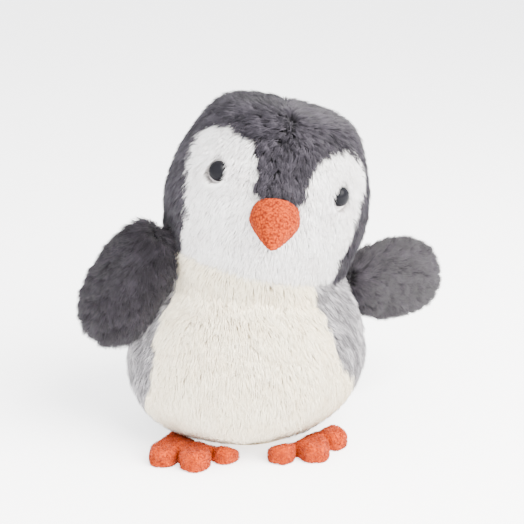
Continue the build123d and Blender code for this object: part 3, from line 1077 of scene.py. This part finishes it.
class PENGUIN_OT_flippers(bpy.types.Operator):
    """Makes the cloth and the pile of the two flippers"""

    bl_idname = "penguin.flippers"
    bl_label = "Flippers"

    def execute(self, context):
        scene = context.scene
        settings, colours = scene.penguin_flipper_pile, scene.penguin_colours
        depth = scene.penguin_body.depth
        backing, fur = plush_materials("flipper", colours)
        for number, side in enumerate(SIDES):
            nodes = [f"flipper_{side}_{part}" for part in ("front", "back", "stuffing")]
            hinge, normal = joint(f"flipper_{side}_flap")
            away = points_on(*nodes[:2]) - hinge
            along = away.mean(0)
            along = unit(along - normal * np.dot(along, normal))
            across = np.cross(normal, along)
            local = np.stack([away @ along, away @ across, away @ normal], 1)
            root, tip = local[:, 0].min() + depth - ROOT_TUCK, local[:, 0].max() - depth
            widest = local[np.argmax(local[:, 1]), 0]
            half_width = local[:, 1].max() - depth
            half_depth = local[:, 2].max() - depth * 0.8

            def surface(turn_share, up):
                angle = up * math.pi
                turn = turn_share * 2 * math.pi
                x = widest - np.where(angle < math.pi / 2, widest - root, tip - widest) * np.cos(angle)
                ring = np.sin(angle) ** 0.7
                return (
                    hinge
                    + x[:, None] * along
                    + (half_width * ring * np.cos(turn))[:, None] * across
                    + (half_depth * ring * np.sin(turn))[:, None] * normal
                )

            cloth = merged(new_piece(f"flipper_cloth_{side}", *grid(surface, 72, 60)))
            form = surface_of(cloth)

            def heading(roots):
                away = roots - hinge
                sideways = (away @ across) / half_width
                reach = (away @ along - root) / (tip - root)
                outward = along * (0.3 + 1.3 * reach)[:, None] + across * (0.8 * sideways)[:, None]
                return outward + np.array([0, 0, -0.3])

            def erect(roots):
                from_root = (roots - hinge) @ along - root
                return np.clip(1 - from_root / (18 * MM), 0, 1) * 0.15

            def everywhere(roots, tips):
                return np.ones(len(roots), bool)

            def tone(roots):
                reach = ((roots - hinge) @ along - root) / (tip - root)
                # darker toward the root, where the flipper meets the body: painted shade
                return 0.32 + 0.22 * np.clip(reach, 0, 1) + 0.2 * slow_noise(roots, 11 * MM, 33)

            pile_layers(
                f"flipper_pile_{side}", 2, fur, f"flipper_{side}", "charcoal_plush",
                form, settings, heading, everywhere, tone, seed=SEEDS["flipper"] + number, spare=1.0, erect=erect,
            )
            finish_piece(cloth, backing, f"flipper_{side}", nodes)
        return {"FINISHED"}


# ---- feet


class PENGUIN_OT_feet(bpy.types.Operator):
    """Makes the two padded fleece feet"""

    bl_idname = "penguin.feet"
    bl_label = "Feet"

    def execute(self, context):
        scene = context.scene
        settings, colours = scene.penguin_foot_pile, scene.penguin_colours
        dark, light = colours.foot_dark, colours.foot_light
        # the fleece is darker in the hollows of its grain and the fuzz at its roots: painted shade
        fleece = cloth_material("foot_fleece", dark, light, FLEECE_GRAIN, FLEECE_BUMP, sheen=0.08)
        fuzz = pile_material("foot_fuzz", dark, dark, light, sheen=0.08)

        speckled = uneven_tone(middle=0.5, swing=0.3, size=2.5 * MM, seed=43)

        def outward(roots):
            return roots - roots.mean(0)

        def off_floor(roots, tips):
            return tips[:, 2] > FLEECE_FLOOR

        def lowest(roots):
            return FLEECE_FLOOR

        for number, side in enumerate(SIDES):
            nodes = [f"foot_{side}_{part}" for part in ("top", "sole", "stuffing")]
            start, corners, faces = 0, [], []
            for node in nodes:
                points, _, triangles = surface_of(frame["nodes"][node])
                corners.append(points)
                faces.append(triangles + start)
                start += len(points)
            pad = new_piece(f"foot_cloth_{side}", np.concatenate(corners), np.concatenate(faces))
            remesh = pad.modifiers.new("round", "REMESH")
            remesh.mode = "VOXEL"
            remesh.voxel_size = 0.7 * MM
            smooth = pad.modifiers.new("soften", "SMOOTH")
            smooth.factor = 0.6
            smooth.iterations = 8
            evaluated = pad.evaluated_get(context.evaluated_depsgraph_get())
            made = bpy.data.meshes.new_from_object(evaluated)
            pad.modifiers.clear()
            pad.data = made
            made.name = pad.name
            made.polygons.foreach_set("use_smooth", np.ones(len(made.polygons), bool))
            points, normals, _ = surface_of(pad)
            uneven = slow_noise(points, 7 * MM, 41 + number)[:, None] * 0.25 * MM
            moved = points + normals * uneven
            moved[:, 2] = np.maximum(moved[:, 2], FLEECE_FLOOR / 2)
            made.vertices.foreach_set("co", moved.astype(np.float32).ravel())
            made.update()
            pile_layers(
                f"foot_pile_{side}", 1, fuzz, f"foot_{side}", "orange_fleece",
                surface_of(pad), settings, outward, off_floor, speckled,
                seed=SEEDS["foot"] + number, spare=1.3, lowest=lowest,
            )
            finish_piece(pad, fleece, f"foot_{side}", nodes)
        return {"FINISHED"}


# ---- stage


class PENGUIN_OT_stage(bpy.types.Operator):
    """Makes the floor, the camera and the studio light"""

    bl_idname = "penguin.stage"
    bl_label = "Stage"

    def execute(self, context):
        scene = context.scene
        stage = scene.penguin_stage
        aim = Vector(stage.aim)
        level = math.cos(stage.elevation)
        back = Vector((math.sin(stage.heading), -math.cos(stage.heading), 0)) * level
        back.z = math.sin(stage.elevation)
        camera = bpy.data.objects.new("camera", bpy.data.cameras.new("camera"))
        camera.data.lens = stage.lens
        camera.data.sensor_width = 36
        camera.data.clip_start = 0.01
        camera.location = aim + back * stage.distance
        camera.rotation_euler = (-back).to_track_quat("-Z", "Y").to_euler()
        scene.collection.objects.link(camera)
        scene.camera = camera

        for name, place, size, power, colour in (
            ("key_light", (0.55, -0.55, 0.75), 0.9, stage.key_power, (1.0, 0.975, 0.94)),
            ("fill_light", (-0.8, -0.5, 0.45), 1.0, stage.fill_power, (0.96, 0.97, 1.0)),
        ):
            lamp = bpy.data.objects.new(name, bpy.data.lights.new(name, "AREA"))
            lamp.data.size = size
            lamp.data.energy = power
            lamp.data.color = colour
            lamp.location = place
            lamp.rotation_euler = (aim - Vector(place)).to_track_quat("-Z", "Y").to_euler()
            scene.collection.objects.link(lamp)
        world = bpy.data.worlds.new("studio")
        world.use_nodes = True
        sky = world.node_tree.nodes["Background"]
        sky.inputs["Color"].default_value = (0.98, 0.98, 1.0, 1)
        sky.inputs["Strength"].default_value = stage.sky
        scene.world = world

        def floor_points(along, up):
            low = np.full_like(up, -FLOOR_DROP)
            return np.stack([(along - 0.5) * FLOOR_SIDE, (up - 0.5) * FLOOR_SIDE, low], 1)

        floor = new_piece("floor", *grid(floor_points, 12, 12))
        pale, _, shader = new_material("pale_floor", 0.8)
        shader.inputs["Base Color"].default_value = (*scene.penguin_colours.floor, 1)
        shader.inputs["Emission Color"].default_value = (1, 1, 1, 1)
        shader.inputs["Emission Strength"].default_value = stage.floor_glow
        floor.data.materials.append(pale)
        return {"FINISHED"}


class PENGUIN_PT_panel(bpy.types.Panel):
    """Lists the pieces of the penguin"""

    bl_label = "Plush penguin"
    bl_idname = "PENGUIN_PT_panel"
    bl_space_type = "VIEW_3D"
    bl_region_type = "UI"
    bl_category = "Plush penguin"

    def draw(self, context):
        for operator in OPERATORS:
            self.layout.operator(operator.bl_idname)


OPERATORS = (
    PENGUIN_OT_stage,
    PENGUIN_OT_body,
    PENGUIN_OT_head,
    PENGUIN_OT_eyes,
    PENGUIN_OT_beak,
    PENGUIN_OT_flippers,
    PENGUIN_OT_feet,
)
CLASSES = (*SETTINGS.values(), *OPERATORS, PENGUIN_PT_panel)


def register():
    for cls in CLASSES:
        bpy.utils.register_class(cls)
    for name, cls in SETTINGS.items():
        setattr(bpy.types.Scene, name, PointerProperty(type=cls))


def unregister():
    for name in SETTINGS:
        delattr(bpy.types.Scene, name)
    for cls in reversed(CLASSES):
        bpy.utils.unregister_class(cls)


def main():
    """Makes every piece in order."""
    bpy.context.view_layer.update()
    register()
    for operator in OPERATORS:
        group, name = operator.bl_idname.split(".")
        getattr(getattr(bpy.ops, group), name)()
    bpy.context.view_layer.update()


if __name__ == "__main__":
    main()
